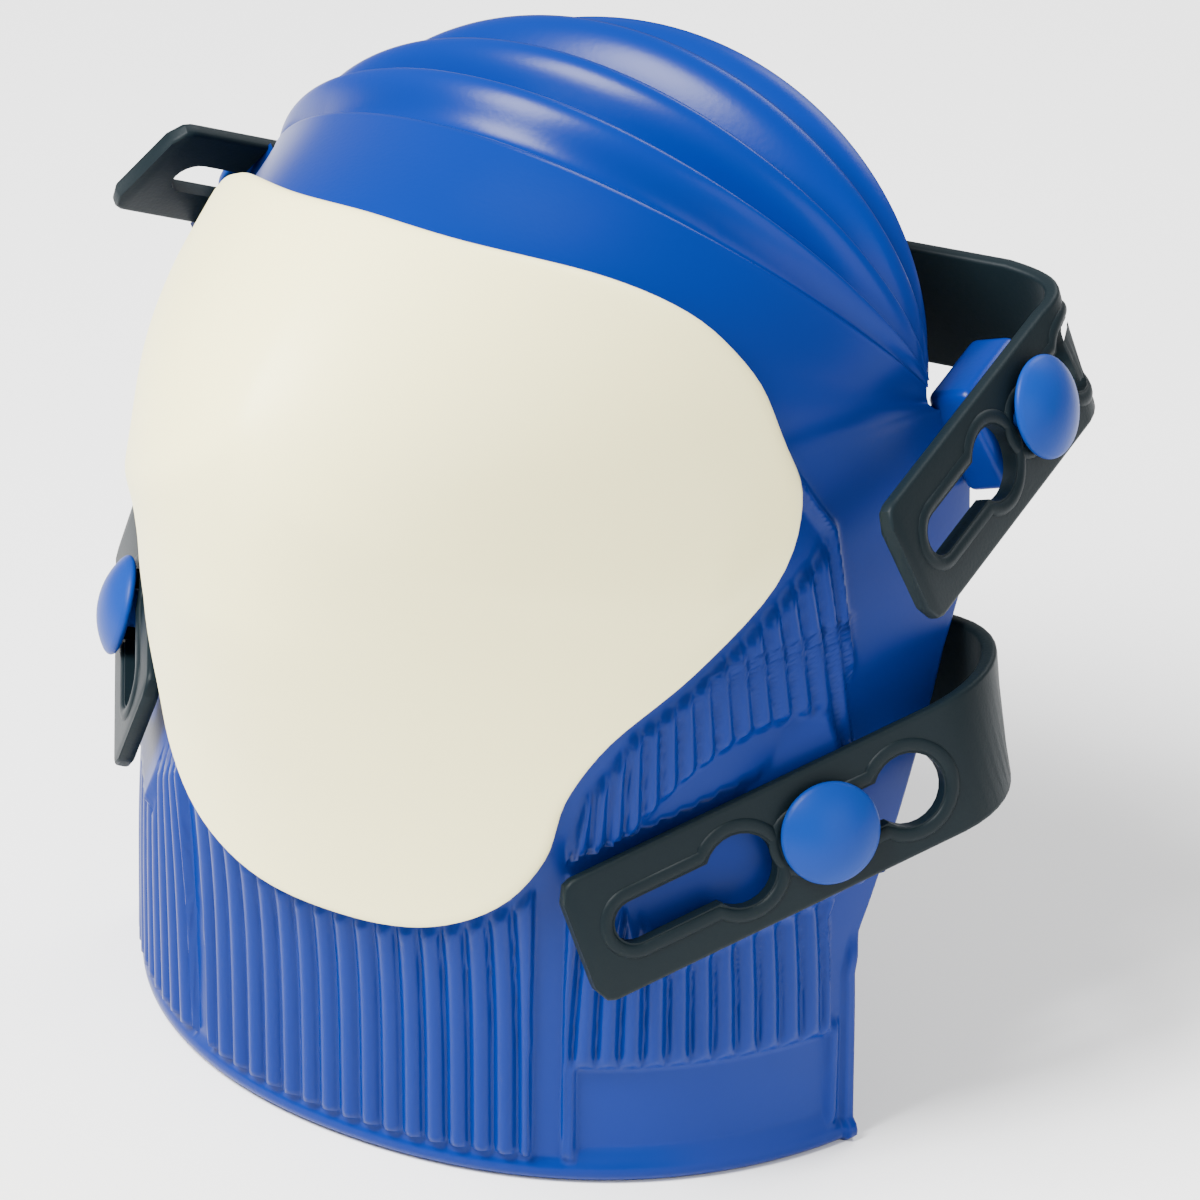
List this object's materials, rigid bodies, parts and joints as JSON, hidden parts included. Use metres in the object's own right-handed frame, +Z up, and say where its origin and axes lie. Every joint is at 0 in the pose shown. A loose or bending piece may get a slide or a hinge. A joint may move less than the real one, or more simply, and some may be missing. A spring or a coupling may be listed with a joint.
{
  "type": "knee pad",
  "caption": "Strap-on knee pad: moulded cup with ribbed shin skirt and bellows, hard cap, mushroom studs and keyhole rubber straps.",
  "frame": {"origin": "front of the bottom rim, middle of its wall, on the plane of symmetry", "axes": "+X across the leg, -Y forward (kneeling face), +Z up the leg towards the thigh"},
  "size_m": [0.2004, 0.165, 0.201],
  "materials": {
    "blue_plastic": "gloss moulded plastic",
    "stud_blue": "satin moulded plastic",
    "cream_plastic": "satin moulded plastic",
    "black_rubber": "satin moulded rubber",
    "foam": "knit-faced foam",
    "spring_steel": "zinc plated"
  },
  "bodies": {
    "shell": {"shell": "blue_plastic", "cap": "cream_plastic", "push_nuts": "spring_steel", "knee_cushion": "foam", "shin_cushion": "foam", "upper_right_stud": "stud_blue", "upper_right_washer": "stud_blue", "upper_left_stud": "stud_blue", "upper_left_washer": "stud_blue", "lower_right_stud": "stud_blue", "lower_right_washer": "stud_blue", "lower_left_stud": "stud_blue", "lower_left_washer": "stud_blue"},
    "pleat_1": {"bellows_pleat_1": "blue_plastic"},
    "pleat_2": {"bellows_pleat_2": "blue_plastic"},
    "thigh_cuff": {"bellows_pleat_3": "blue_plastic"},
    "upper_strap": {"upper_strap": "black_rubber"},
    "lower_strap": {"lower_strap": "black_rubber"}
  },
  "joints": [
    {"name": "bellows_flex", "type": "hinge", "parent": "shell", "child": "thigh_cuff", "pos_m": [0, 0.08875, 0.136], "axis": [1, 0, 0], "range_deg": [-9, 9], "stiffness_Nm_per_rad": 1.5},
    {"name": "pleat_2_flex", "type": "hinge", "parent": "shell", "child": "pleat_2", "pos_m": [0, 0.08875, 0.136], "axis": [1, 0, 0], "range_deg": [-6.1, 6.1], "stiffness_Nm_per_rad": 0.5},
    {"name": "pleat_1_flex", "type": "hinge", "parent": "shell", "child": "pleat_1", "pos_m": [0, 0.08875, 0.136], "axis": [1, 0, 0], "range_deg": [-3.1, 3.1], "stiffness_Nm_per_rad": 0.5},
    {"name": "upper_strap_swing", "type": "hinge", "parent": "shell", "child": "upper_strap", "pos_m": [0, 0.0989, 0.1343], "axis": [1, 0, 0], "range_deg": [-5, 5]},
    {"name": "lower_strap_swing", "type": "hinge", "parent": "shell", "child": "lower_strap", "pos_m": [0, 0.0402, 0.0711], "axis": [1, 0, 0], "range_deg": [-5, 5]}
  ],
  "couplings": [
    {"joint": "pleat_2_flex", "follows": "bellows_flex", "ratio": 0.6667},
    {"joint": "pleat_1_flex", "follows": "bellows_flex", "ratio": 0.3333}
  ]
}
